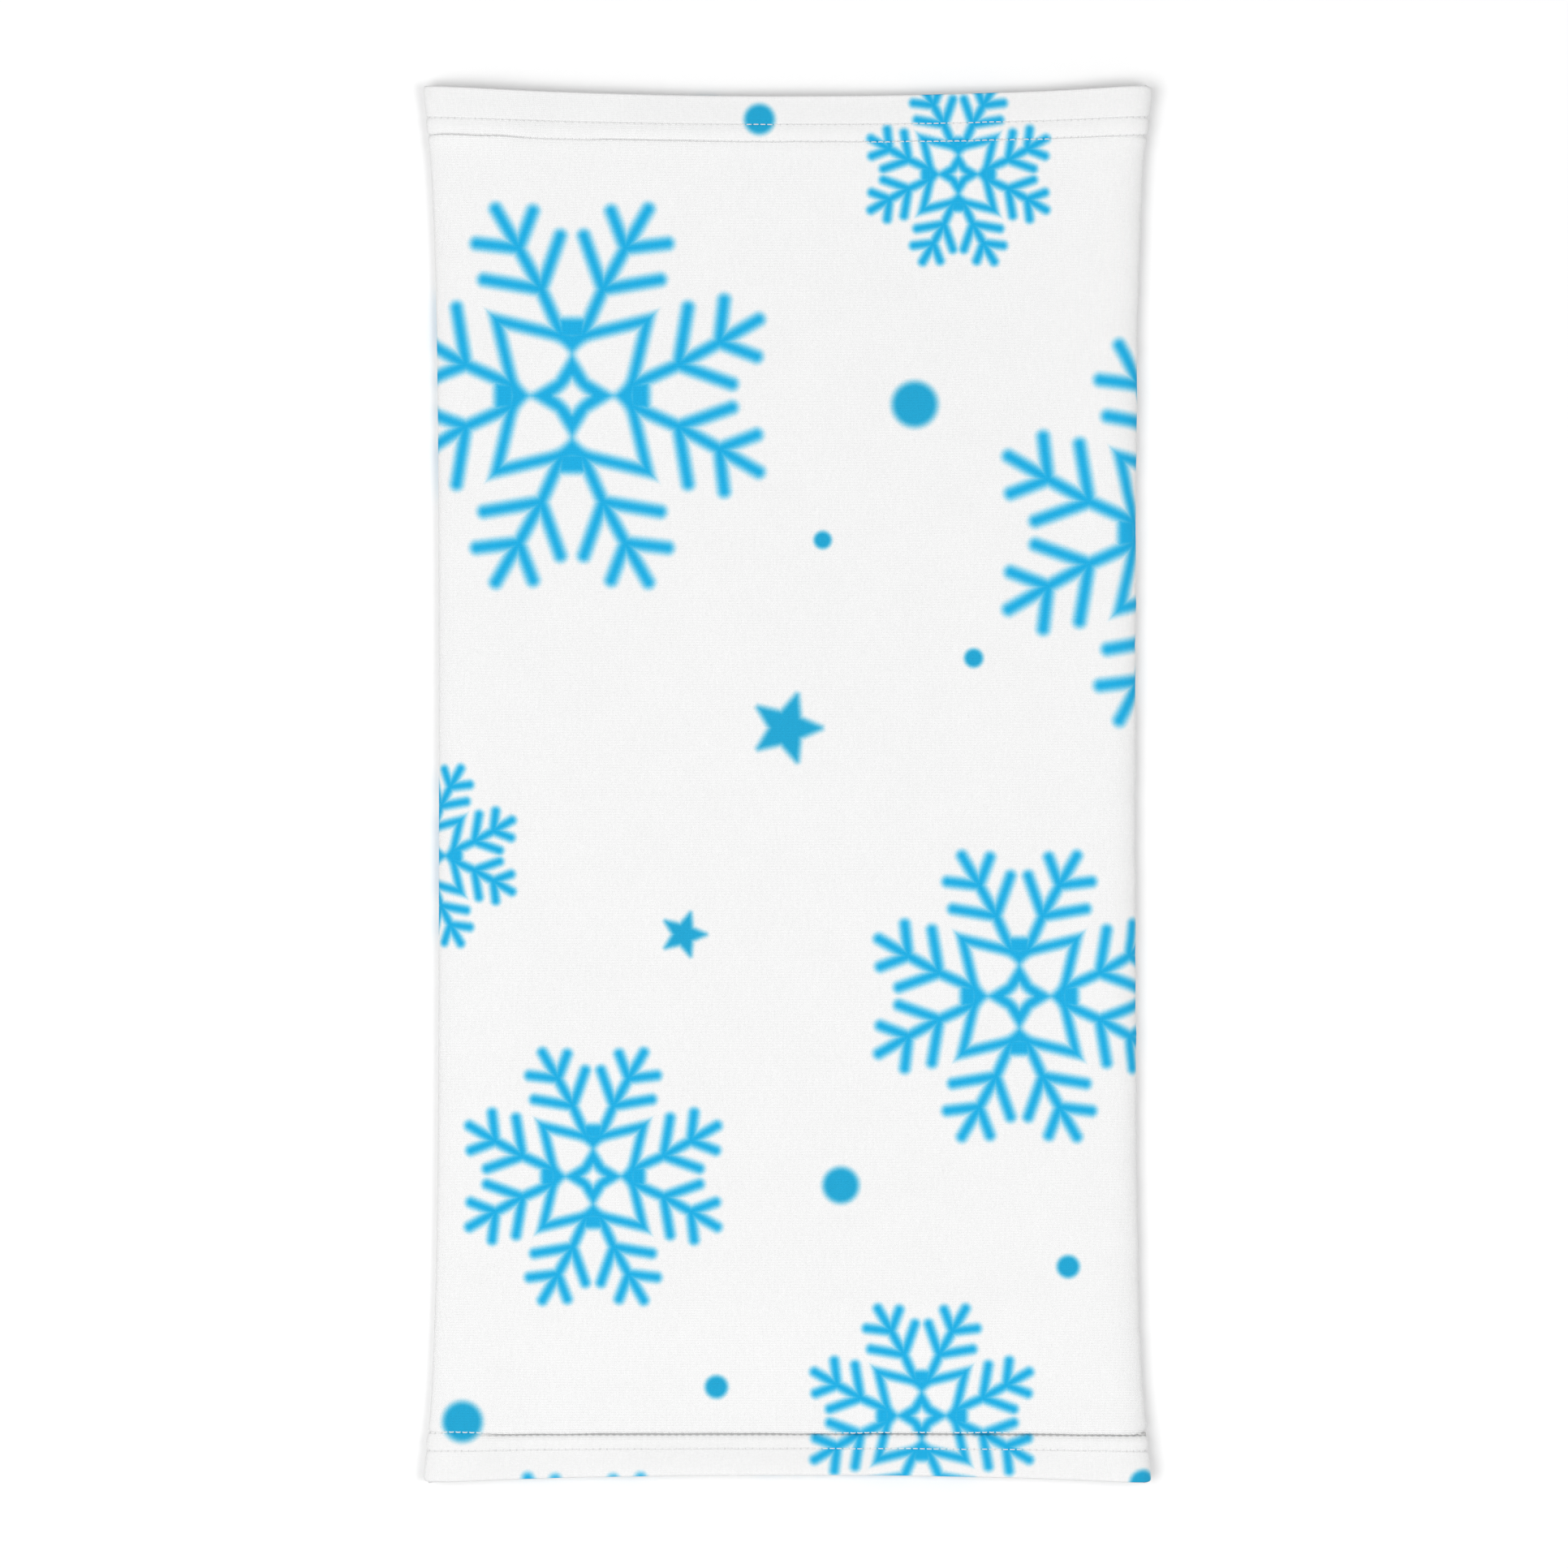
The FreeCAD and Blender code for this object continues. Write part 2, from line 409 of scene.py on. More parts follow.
def noise(place, scale, detail, roughness):
    node = place.tree.nodes.new("ShaderNodeTexNoise")
    plug(place.tree, node.inputs["Vector"], place)
    node.inputs["Scale"].default_value = scale
    node.inputs["Detail"].default_value = detail
    node.inputs["Roughness"].default_value = roughness
    return Field(place.tree, node.outputs["Fac"])


def millimetres(tree, uv_map):
    """A UV map in millimetres on the cloth."""
    node = tree.nodes.new("ShaderNodeUVMap")
    node.uv_map = uv_map
    return Field(tree, node.outputs[0]).vector("SCALE", scale=1 / MM)


def rgba(colour):
    return (*colour, 1.0)


def as_seen(colour):
    """A linear colour as the eye spaces it, in which soft ink edges look even."""
    return rgba(tuple(part ** (1 / EYE_GAMMA) for part in colour))


def to_linear(colour):
    node = colour.tree.nodes.new("ShaderNodeGamma")
    plug(colour.tree, node.inputs["Color"], colour)
    node.inputs["Gamma"].default_value = EYE_GAMMA
    return Field(colour.tree, node.outputs[0])


# ---- the print ---------------------------------------------------------------------------


def to_segment(point, start, stop):
    """Distance from a point to a straight stroke's centre line."""
    along = (stop[0] - start[0], stop[1] - start[1], 0.0)
    square = along[0] ** 2 + along[1] ** 2
    offset = point.vector("SUBTRACT", (start[0], start[1], 0.0))
    share = offset.vector("DOT_PRODUCT", tuple(a / square for a in along))
    share = share.math("ADD", 0.0, clamp=True)
    return offset.vector("SUBTRACT", share.vector("MULTIPLY", along)).vector("LENGTH")


def line_distance(point, start, stop):
    """Signed distance from the line through two places, positive on its left."""
    length = math.hypot(stop[0] - start[0], stop[1] - start[1])
    normal = ((start[1] - stop[1]) / length, (stop[0] - start[0]) / length, 0.0)
    offset = point.vector("SUBTRACT", (start[0], start[1], 0.0))
    return offset.vector("DOT_PRODUCT", normal)


def nearest_flake(place):
    """Where a place lies in the nearest flake, at FLAKE_SIZE, and that flake's radius."""
    nearest = None
    for u, v, radius in FLAKES:
        offset = place.vector("SUBTRACT", (u, v, 0.0))
        offset = offset.vector("SCALE", scale=FLAKE_SIZE / radius)
        away = offset.vector("LENGTH")
        if nearest is None:
            nearest = (away, offset, radius)
            continue
        closer = away.math("LESS_THAN", nearest[0])
        nearest = (
            away.min(nearest[0]),
            closer.pick(offset, nearest[1], vector=True),
            closer.pick(radius, nearest[2]),
        )
    return nearest[1], nearest[2]


def flake_edge(place):
    """Signed distance to the ink of the nearest flake, as a share of its fade."""
    offset, radius = nearest_flake(place)
    x = offset.part(0).abs()
    y = offset.part(1).abs()
    low = x.min(y)
    high = x.max(y)
    point = join_xy(low, high)

    strokes = None
    for start, stop in list(zip(STEM, STEM[1:])) + list(TWIGS):
        reach = to_segment(point, start, stop)
        strokes = reach if strokes is None else strokes.min(reach)
    strokes = strokes - STROKE

    from_frame = line_distance(point, *FRAME_LINE)
    inside_frame = from_frame + FRAME_STROKE
    side = line_distance(point, *PETAL_SIDE)
    chamfer = (high - low - PETAL_CHAMFER) * math.sqrt(0.5)
    petal = inside_frame.math("SMOOTH_MAX", chamfer, PETAL_ROUND)
    petal = petal.math("SMOOTH_MAX", -side, PETAL_ROUND)
    petal = petal.max(PETAL_NECK - low).max(PETAL_CUT - (low + high) * math.sqrt(0.5))
    centre = CORE_RADIUS - point.vector("DISTANCE", (CORE_CENTRE, CORE_CENTRE, 0.0))
    centre = centre.max(high - CORE_REACH)
    core = (from_frame - FRAME_STROKE).max(-petal).max(-centre)
    hub = (low - HUB_HALF).max(high - HUB_TO).max(HUB_FROM - high)
    edge = strokes.min(core).min(hub) * radius / FLAKE_SIZE
    spread = (INK_SPREAD[0] - radius * INK_SPREAD[1]).max(0.0)
    return (edge - spread) / (radius * FLAKE_FADE[1] + FLAKE_FADE[0])


def dot_edge(place):
    """Signed distance to the nearest dot, as a share of its fade."""
    nearest = None
    for u, v, radius in DOTS:
        soft = DOT_FADE[0] + DOT_FADE[1] * radius
        reach = (place.vector("DISTANCE", (u, v, 0.0)) - radius) / soft
        nearest = reach if nearest is None else nearest.min(reach)
    return nearest


def star_edge(place):
    """The same for the nearest star, each with one point towards +U."""
    nearest = None
    sector = 2 * math.pi / 5
    waist = (STAR_WAIST * math.cos(sector / 2), STAR_WAIST * math.sin(sector / 2))
    edge = math.hypot(1 - waist[0], waist[1])
    normal = (waist[1] / edge, (1 - waist[0]) / edge)
    for u, v, radius in STARS:
        soft = STAR_FADE[0] + STAR_FADE[1] * radius
        offset = place.vector("SUBTRACT", (u, v, 0.0))
        away = offset.vector("LENGTH") / soft
        turn = offset.part(1).math("ARCTAN2", offset.part(0))
        turn = turn.math("WRAP", sector / 2, -sector / 2).abs()
        across = away * turn.math("COSINE") - radius / soft
        aside = away * turn.math("SINE")
        reach = across * normal[0] + aside * normal[1]
        reach = reach.math("SMOOTH_MAX", away - radius * STAR_TIP / soft, STAR_ROUND)
        nearest = reach if nearest is None else nearest.min(reach)
    return nearest


def cover(edge, bleed):
    """How much ink lies at a signed distance from its edge; bleed frays the edge."""
    return (edge + bleed).step(1.0, -1.0)


# ---- materials ---------------------------------------------------------------------------


def new_material(name):
    material = bpy.data.materials.new(name)
    material.use_nodes = True
    tree = material.node_tree
    shader = tree.nodes["Principled BSDF"]
    return material, tree, shader


def knit_height(place):
    """Height of the knitted loops: each wale is two slanting legs, broken by the courses."""
    across = (place.part(0) / WALE).math("WRAP", 0.5, -0.5).abs()
    leg = ((across - 0.25) * (2 * math.pi)).math("COSINE")
    slant = (place.part(1) / COURSE - across * 1.3) * (2 * math.pi)
    loop = slant.math("COSINE")
    return leg * 0.55 + (leg * 0.25 + 0.25) * loop


def crease_shade(place, yarn):
    """Darker deep in the crease beside the bottom inner row: painted shade in the colour."""
    from_slot = yarn.part(1) + (LENGTH / 2 - INNER_ROW + SLOT_OFFSET)
    across = place.part(0)
    scallop = (across * (2 * math.pi / PITCH)).math("COSINE") * SLOT_SCALLOP
    away = (from_slot + scallop).abs()
    dark = away.step(0.75, 0.1) * SLOT_DEEP + away.step(2.8, 0.2) * SLOT_SOFT
    return 1.0 - dark * across.step(*SLOT_BEGINS)


def hole_shade(place, yarn):
    """Darker where a needle went through: painted shade in the holes."""
    from_end = LENGTH / 2 - yarn.part(1).abs()
    from_row = (from_end - OUTER_ROW).abs().min((from_end - INNER_ROW).abs())
    at_hole = (place.part(0) * (2 * math.pi / PITCH)).math("COSINE").step(0.4, 1.0)
    dark = from_row.step(0.6, 0.1) * at_hole * noise(place, *HOLE_NOISE)
    return 1.0 - dark * HOLE_DARK


def bump(tree, shader, height, distance):
    node = tree.nodes.new("ShaderNodeBump")
    node.inputs["Strength"].default_value = 1.0
    node.inputs["Distance"].default_value = distance * MM
    plug(tree, node.inputs["Height"], height)
    tree.links.new(node.outputs["Normal"], shader.inputs["Normal"])


def jersey(name, ground, ink_strength, loop_height):
    """Knitted jersey with the print in it, at full strength or as a faint show-through."""
    material, tree, shader = new_material(name)
    place = millimetres(tree, "print")
    yarn = millimetres(tree, "knit")

    loops = knit_height(yarn)
    fuzz = noise(yarn, *FUZZ)
    mottle = noise(place, *MOTTLE)
    grain = noise(yarn, *GRAIN)
    bleed = (noise(yarn, *BLEED) - 0.5) * 0.3
    streak = noise(yarn.vector("MULTIPLY", STREAK_STRETCH), *STREAK)

    # Random tone from mottle, grain and streaks, and painted shade: darker in the knit loops'
    # hollows, in the bottom crease and at the needle holes
    tone_and_shade = 1.0 + (mottle - 0.5) * 0.04 + (grain - 0.5) * 0.10 + (loops - 0.25) * 0.05
    tone_and_shade = tone_and_shade + (streak - 0.5) * 0.07
    tone_and_shade = tone_and_shade * crease_shade(place, yarn) * hole_shade(place, yarn)
    flakes = cover(flake_edge(place), bleed)
    spots = cover(dot_edge(place).min(star_edge(place)), bleed)
    rub = 0.992 + (grain - 0.5) * 0.03 + (loops - 0.25) * 0.012

    inked = mix_colour(flakes * rub * ink_strength, as_seen(ground), as_seen(FLAKE_INK))
    inked = mix_colour(spots * rub * ink_strength, inked, as_seen(DOT_INK))
    tinted = to_linear(inked).vector("SCALE", scale=tone_and_shade)
    plug(tree, shader.inputs["Base Color"], tinted)
    shader.inputs["Roughness"].default_value = 0.86
    shader.inputs["Specular IOR Level"].default_value = 0.1
    shader.inputs["Sheen Weight"].default_value = 0.03
    shader.inputs["Sheen Roughness"].default_value = 0.55
    bump(tree, shader, loops + fuzz * 0.5, loop_height)
    return material


def thread_material():
    """White polyester thread: two plies twisted together."""
    material, tree, shader = new_material("white_thread")
    place = millimetres(tree, "thread")
    twist = ((place.part(0) / 0.9 + place.part(1)) * (4 * math.pi)).math("SINE")
    # The twist paints shade into the colour, darker in the grooves between the plies; the noise
    # is random tone
    tone_and_shade = 1.0 + twist * 0.03 + (noise(place, *THREAD_NOISE) - 0.5) * 0.04
    shaded = tuple(0.86 * part for part in THREAD_WHITE)
    colour = mix_colour(tone_and_shade * 0.5 + 0.4, rgba(shaded), rgba(THREAD_WHITE))
    plug(tree, shader.inputs["Base Color"], colour)
    shader.inputs["Roughness"].default_value = 0.5
    shader.inputs["Sheen Weight"].default_value = 0.1
    bump(tree, shader, twist, TWIST_BUMP)
    return material


def floor_material():
    material, _, shader = new_material("pale_floor")
    shader.inputs["Base Color"].default_value = rgba(FLOOR_WHITE)
    shader.inputs["Roughness"].default_value = 0.9
    shader.inputs["Specular IOR Level"].default_value = 0.0
    return material


# ---- the jersey's form -------------------------------------------------------------------


def smooth(low, high, value):
    """0 at low, 1 at high and a smooth rise between."""
    share = np.clip((value - low) / (high - low), 0.0, 1.0)
    return share * share * (3 - 2 * share)


def hump(value, centre, width):
    return np.exp(-(((value - centre) / width) ** 2))


def half_width(y):
    flare = (HEM_WIDTH - WAIST_WIDTH) / 2
    near_top = np.exp(-(LENGTH / 2 - y) / FLARE_FADE)
    near_bottom = np.exp(-(LENGTH / 2 + y) / FLARE_FADE)
    return WAIST_WIDTH / 2 + flare * (near_top + near_bottom)


def spread(count):
    """Shares from 0 up to but not including 1."""
    return np.arange(count) / count


FRONT_COUNT = COARSE_STEP * round(
    (WAIST_WIDTH - FOLD_REACH_ABOVE - SEAM_REACH_ABOVE) / FINE / COARSE_STEP
)
BACK_COUNT = round((WAIST_WIDTH - FOLD_REACH_BELOW - SEAM_REACH_BELOW) / BACK_STEP)
SEGMENTS = (
    ("upper_allowance", spread(3)),
    ("upper_lip", spread(4)),
    ("upper_seam", spread(8)),
    ("front", spread(FRONT_COUNT)),
    ("fold_above", spread(14)),
    ("fold_below", spread(8)),
    ("back", spread(BACK_COUNT)),
    ("lower_seam", spread(7)),
    ("lower_lip", spread(4)),
    ("lower_allowance", np.append(spread(3), 1.0)),
)
SPANS = {}
COLUMNS = 0
for segment_name, segment_shares in SEGMENTS:
    SPANS[segment_name] = slice(COLUMNS, COLUMNS + len(segment_shares))
    COLUMNS += len(segment_shares)


def quarter(shares, reach, rise, falling=False):
    """Offsets along a quarter ellipse, from its side to its crest, or back if falling."""
    turn = (1 - shares if falling else shares) * math.pi / 2
    return reach * np.cos(turn), rise * np.sin(turn)


def cross_section(half, inset, lip):
    """x and z of every column; half, inset and lip are column vectors, one value a row."""
    x, z = [], []

    def add(xs, zs):
        x.append(xs + 0 * half)
        z.append(zs + 0 * x[-1])

    shares = dict(SEGMENTS)
    seam = half - inset
    upper = EDGE_HEIGHT + SEAM_GAP
    lower = EDGE_HEIGHT - SEAM_GAP

    s = shares["upper_allowance"][None, :]
    add(seam - lip - ALLOWANCE * (1 - s), upper)
    turn = shares["upper_lip"][None, :] * math.pi / 2
    add(seam - lip + lip * np.sin(turn), upper + lip - lip * np.cos(turn))
    dx, dz = quarter(shares["upper_seam"][None, :], SEAM_REACH_ABOVE - inset,
                     LAY_HEIGHT - inset - upper - lip)
    add(half - SEAM_REACH_ABOVE + dx, upper + lip + dz)
    s = shares["front"][None, :]
    add((half - SEAM_REACH_ABOVE) * (1 - s) + (FOLD_REACH_ABOVE - half) * s, LAY_HEIGHT - inset)
    dx, dz = quarter(shares["fold_above"][None, :], FOLD_REACH_ABOVE - inset,
                     LAY_HEIGHT - inset - EDGE_HEIGHT, falling=True)
    add(FOLD_REACH_ABOVE - half - dx, EDGE_HEIGHT + dz)
    dx, dz = quarter(shares["fold_below"][None, :], FOLD_REACH_BELOW - inset,
                     EDGE_HEIGHT - inset)
    add(FOLD_REACH_BELOW - half - dx, EDGE_HEIGHT - dz)
    s = shares["back"][None, :]
    add((FOLD_REACH_BELOW - half) * (1 - s) + (half - SEAM_REACH_BELOW) * s, inset)
    dx, dz = quarter(shares["lower_seam"][None, :], SEAM_REACH_BELOW - inset,
                     lower - lip - inset, falling=True)
    add(half - SEAM_REACH_BELOW + dx, lower - lip - dz)
    turn = (1 - shares["lower_lip"][None, :]) * math.pi / 2
    add(seam - lip + lip * np.sin(turn), lower - lip + lip * np.cos(turn))
    s = shares["lower_allowance"][None, :]
    add(seam - lip - ALLOWANCE * s, lower)
    return np.hstack(x), np.hstack(z)


def cloth_across(half):
    """U of every column: X on the front, then on round the fold and over the back."""
    waist = np.array([[WAIST_WIDTH / 2]])
    x, z = cross_section(waist, 0 * waist, 0 * waist + LIP)
    steps = np.hypot(np.diff(x[0]), np.diff(z[0]))
    arc = np.concatenate([[0.0], np.cumsum(steps)])
    front, back = SPANS["front"], SPANS["back"]
    back_end = WAIST_WIDTH / 2 - FOLD_REACH_ABOVE + arc[back.stop] - arc[front.stop]
    u = np.empty((len(half), COLUMNS))
    u[:, : front.start] = half - SEAM_REACH_ABOVE + (arc[front.start] - arc[: front.start])
    s = spread(FRONT_COUNT)[None, :]
    u[:, front] = (half - SEAM_REACH_ABOVE) * (1 - s) + (FOLD_REACH_ABOVE - half) * s
    u[:, front.stop : back.start] = (
        FOLD_REACH_ABOVE - half - (arc[front.stop : back.start] - arc[front.stop])
    )
    s = spread(BACK_COUNT)[None, :]
    back_from = FOLD_REACH_ABOVE - half - (arc[back.start] - arc[front.stop])
    u[:, back] = back_from * (1 - s) - back_end * s
    u[:, back.stop :] = -back_end - (arc[back.stop :] - arc[back.stop])
    return u


# ---- the jersey's rows -------------------------------------------------------------------

# The crease beside the inner row: the body stands up over the row and leans over the hem
CREASE_SHAPE = (  # distance past the row, where that lands and how high
    (-3.6, -3.6, 0.0),
    (-2.4, -2.3, -0.10),
    (-1.9, -1.75, -0.20),
    (-1.5, -1.30, -0.32),
    (-1.2, -0.98, -0.46),
    (-1.0, -0.75, -0.60),
    (-0.8, -0.55, -0.72),
    (-0.65, -0.36, -0.72),
    (-0.5, -0.26, -0.50),
    (-0.35, -0.32, -0.10),
    (-0.2, -0.48, 0.20),
    (0.0, -0.50, 0.48),
    (0.2, -0.34, 0.66),
    (0.4, -0.10, 0.75),
    (0.65, 0.20, 0.80),
    (0.95, 0.60, 0.80),
    (1.4, 1.20, 0.74),
    (2.0, 1.90, 0.66),
    (4.0, 4.00, 0.40),
    (9.0, 9.00, 0.0),
)

# How far a row lies from its end: on the turned-in cloth, and on the outside
INSIDE_ROWS = (HEM_DEPTH, INNER_ROW, 16.4, 14.8, 13.2, OUTER_ROW, 9.0, 6.0, 3.2, 1.6)
BESIDE_OUTER_ROW = (-1.6, -1.1, -0.75, -0.5, -0.25, 0.0, 0.25, 0.5, 0.75, 1.1, 1.6)
OUTSIDE_ROWS = (
    [1.2, 2.0, 3.2, 4.8, 6.4, 8.0, 9.2]
    + [OUTER_ROW + step for step in BESIDE_OUTER_ROW]
    + [13.9, 14.7]
    + [INNER_ROW + start for start, _, _ in CREASE_SHAPE[1:-2]]
)
FINE_FROM, FINE_TO = OUTER_ROW - 1.2, INNER_ROW + 1.6
BODY_EASE = (0.28, 0.66)  # two closer rows at either end of the body, as shares of its step
END_TURNS = 6


def end_rows():
    """Rows from one raw edge round the end to the hem line: distance, inset and length past
    the end of the outside, which is 0 outside."""
    rows = []
    arc = math.pi * CLOTH
    for distance in INSIDE_ROWS:
        rows.append((distance, 2 * CLOTH, arc + distance - CLOTH))
    for i in range(END_TURNS + 1):
        turn = math.pi * (1 - i / END_TURNS)
        distance = CLOTH - CLOTH * math.sin(turn)
        rows.append((distance, CLOTH - CLOTH * math.cos(turn), CLOTH * turn))
    for distance in OUTSIDE_ROWS:
        rows.append((distance, 0.0, 0.0))
    return rows


def sheet_rows():
    """Every row from the top hem's raw edge to the bottom hem's."""
    hem = end_rows()
    last = OUTSIDE_ROWS[-1]
    count = round((LENGTH - 2 * last) / BODY_STEP)
    gap = (LENGTH - 2 * last) / count
    near_end = (count - BODY_EASE[1], count - BODY_EASE[0])
    body = [last + gap * step for step in (*BODY_EASE, *range(1, count), *near_end)]
    rows = [(LENGTH / 2 - d, d, inset, past) for d, inset, past in hem]
    rows += [(LENGTH / 2 - d, min(d, LENGTH - d), 0.0, 0.0) for d in body]
    rows += [(d - LENGTH / 2, d, inset, past) for d, inset, past in reversed(hem)]
    table = np.array(rows)
    return table[:, 0:1], table[:, 1:2], table[:, 2:3], table[:, 3:4]


class Sheet:
    """The jersey's printed side as a grid of points, with its cloth coordinates."""

    def __init__(self):
        y, distance, inset, past = sheet_rows()
        self.distance, self.inset = distance, inset
        self.top = y > 0
        self.outside = inset == 0
        self.body = (distance > HEM_DEPTH + 0.4) & self.outside
        half = half_width(y)
        lip = np.where(inset > CLOTH, INNER_LIP, LIP) + 0 * y
        self.x, self.z = cross_section(half, inset, lip)
        self.u = cloth_across(half)
        self.knit_u = cloth_across(0 * half + WAIST_WIDTH / 2)
        self.half = half

        dip = 1 - (self.x / (HEM_WIDTH / 2)) ** 2
        share = np.clip((y + LENGTH / 2 - HEM_DEPTH) / (LENGTH - 2 * HEM_DEPTH), 0, 1)
        side = np.where(self.top, 1.0, -1.0)
        drawn = smooth(0, DRAWN_RISE, distance)
        drawn = drawn * (1 - smooth(INNER_ROW, INNER_ROW + DRAWN_FADE, distance))
        toward_end = DRAWN_ROWS + np.where(self.top, DRAWN_TOP, DRAWN_BOTTOM) * dip
        self.y = (y - TOP_DIP * dip * share + BOTTOM_DIP * dip * (1 - share)
                  + side * drawn * toward_end)
        beyond = side * (past + np.where(past > 0, distance - CLOTH, 0))
        self.v = self.y + beyond
        self.knit_v = y + beyond + 0 * self.x
        self.thickness = SHEET + 0 * self.x
        self.shape()

    def column_range(self, *names):
        mask = np.zeros(COLUMNS, bool)
        for name in names:
            mask[SPANS[name]] = True
        return mask[None, :]

    def shape(self):
        """Puffs, stitch grooves, creases and slack, laid on the plain form."""
        x, d = self.x, self.distance
        over = self.column_range("upper_lip", "upper_seam", "front", "fold_above")
        flaps = self.column_range("upper_allowance", "lower_allowance")
        above = np.where(over, 1.0, 0.0)
        out = np.where(self.outside & ~flaps, 1.0, 0.0)

        stitch = 0.5 + 0.5 * np.cos(2 * math.pi * self.u / PITCH)
        groove = hump(d, OUTER_ROW, 0.42) + hump(d, INNER_ROW, 0.42)
        pucker = np.exp(-abs(d - OUTER_ROW) / 1.5) + np.exp(-abs(d - INNER_ROW) / 1.5)
        gauge = INNER_ROW - OUTER_ROW
        between = np.clip((d - OUTER_ROW) / gauge, 0, 1)
        outer_band = np.clip(d / OUTER_ROW, 0, 1)
        lift = 0.26 * np.sin(math.pi * between) ** 2
        lift = lift + 0.16 * np.sin(math.pi * outer_band) ** 2
        lift = lift + 0.24 * hump(d, INNER_ROW + 2.2, 1.8)
        self.smooth_lift = lift - 0.22 * groove
        fine_lift = -0.06 * groove * (stitch - 0.5) - 0.07 * pucker * (stitch - 0.5)

        crease = self.crease_share(x) * above
        from_row = d - INNER_ROW
        start, landing, height = np.array(CREASE_SHAPE).T
        rise = np.interp(from_row, start, height)
        slide = np.interp(from_row, start, start - landing)
        waver = 0.5 * np.sin(x / 7.3) + 0.5 * np.sin(x / 3.1 + 1.0)
        scallop = (0.16 * waver + 0.14 * (stitch - 0.5)) * hump(from_row, -0.1, 0.45)
        self.smooth_lift = self.smooth_lift * (1 - 0.6 * crease * hump(from_row, 0, 1.0))
        self.smooth_lift = self.smooth_lift + crease * rise
        tug = crease * (slide + scallop)
        toward_end = np.where(self.top, 1.0, -1.0)

        slot = hump(from_row, -0.6, 0.3)
        self.thickness = SHEET - out * (0.17 * groove + 0.2 * crease * slot)
        tucked = np.where(self.inset > CLOTH, 1.0, 0.0)
        self.thickness = self.thickness - tucked * 0.12
        press = 0.12 * groove + 0.5 * crease * hump(d, INNER_ROW - 0.4, 1.3)
        self.smooth_lift = self.smooth_lift * out + tucked * press

        normal = self.normals()
        clear = smooth(0.4, EDGE_HEIGHT, self.z)  # the underside only dips, never bulges
        self.smooth_lift = np.where(self.smooth_lift > 0, clear, 1) * self.smooth_lift
        self.smooth_lift = self.smooth_lift - 0.2 * groove * (1 - clear) * out
        fine_lift = fine_lift * np.maximum(clear, 0.2)
        total = self.smooth_lift + fine_lift * out
        self.x = self.x + normal[..., 0] * total
        self.y = self.y + normal[..., 1] * total + toward_end * tug * out
        self.z = self.z + normal[..., 2] * total
        self.fine_lift = fine_lift * out
        self.settle()

    def crease_share(self, x):
        """How deep the crease beside the inner needle row is along the front."""
        wave = 0.82 + 0.18 * np.sin(x / 17.0 + 0.6)
        low = smooth(-111, -98, x) * wave
        high = 0.85 * smooth(-127, -119, x) * smooth(-88, -100, x)
        high = high + 0.34 * smooth(-70, -60, x) * smooth(-20, -45, x) + 0.10
        return np.where(self.top, high, low)

    def settle(self):
        """Rounds the corners, steps the hems out and lets the layers lie slack."""
        x, y, d = self.x, self.y, self.distance
        right = smooth(self.half - 9, self.half, x)
        left = smooth(self.half - 9, self.half, -x)

        def corner(radius):
            inside = np.clip(1 - d / radius, 0, 1)
            return radius * (1 - np.sqrt(1 - inside**2))

        round_right = np.where(self.top, corner(2.2), corner(1.5))
        round_left = np.where(self.top, corner(1.0), corner(2.0))
        hem = smooth(INNER_ROW + 0.5, INNER_ROW - 0.5, d)
        notch = hump(d, OUTER_ROW, 0.7) + 1.3 * hump(d, INNER_ROW + 0.3, 0.8)
        step_right = 0.55 * hem - 0.55 * notch
        step_right = step_right - np.where(self.top, 0.0, 1.0) * hump(d, INNER_ROW + 0.8, 1.1)
        step_left = 0.25 * hem - 0.2 * notch
        ripple = 0.10 * np.sin(y / 2.9) + 0.08 * np.sin(y / 1.7 + 2.0) + 0.1 * np.sin(y / 9.0)
        self.x = x + right * (step_right - round_right + ripple) - left * (step_left - round_left)

        flat = smooth(self.half, self.half - 30, abs(x))
        front = smooth(EDGE_HEIGHT, LAY_HEIGHT - 1, self.z)
        slack = (0.34 * np.sin(x / 31.0 + y / 70.0) + 0.26 * np.sin(y / 43.0 - x / 58.0 + 1.3)
                 + 0.16 * np.sin(x / 14.0 + y / 26.0 + 0.4))
        mouth = np.exp(-d / 30.0)
        wave = (0.55 * np.sin(x / 19.0 + np.where(self.top, 0.4, 2.1))
                + 0.30 * np.sin(x / 9.5 + 1.1))
        sag = 1.1 * (1 - (x / self.half) ** 2)
        corner_lift = 1.9 * smooth(self.half - 46, self.half, abs(x)) * np.exp(-((d / 26.0) ** 2))
        self.z = self.z + front * flat * (slack + mouth * wave - sag) + corner_lift
        self.points = np.stack([self.x, self.y, self.z], axis=-1)

    def normals(self):
        """Unit normals on the printed side."""
        points = np.stack([self.x, self.y, self.z], axis=-1)
        down = np.gradient(points, axis=0)
        along = np.gradient(points, axis=1)
        normal = np.cross(along, down)
        return normal / np.linalg.norm(normal, axis=-1, keepdims=True)

    def plain_side(self):
        """The plain side's points: one cloth thickness behind, without the finest puckers."""
        normal = self.normals()
        smooth_points = self.points - normal * self.fine_lift[..., None]
        return smooth_points - normal * self.thickness[..., None]


def coarse_columns():
    """Every column, but only every fourth on the front."""
    front = SPANS["front"]
    return [c for c in range(COLUMNS)
            if not front.start < c < front.stop or (c - front.start) % COARSE_STEP == 0]


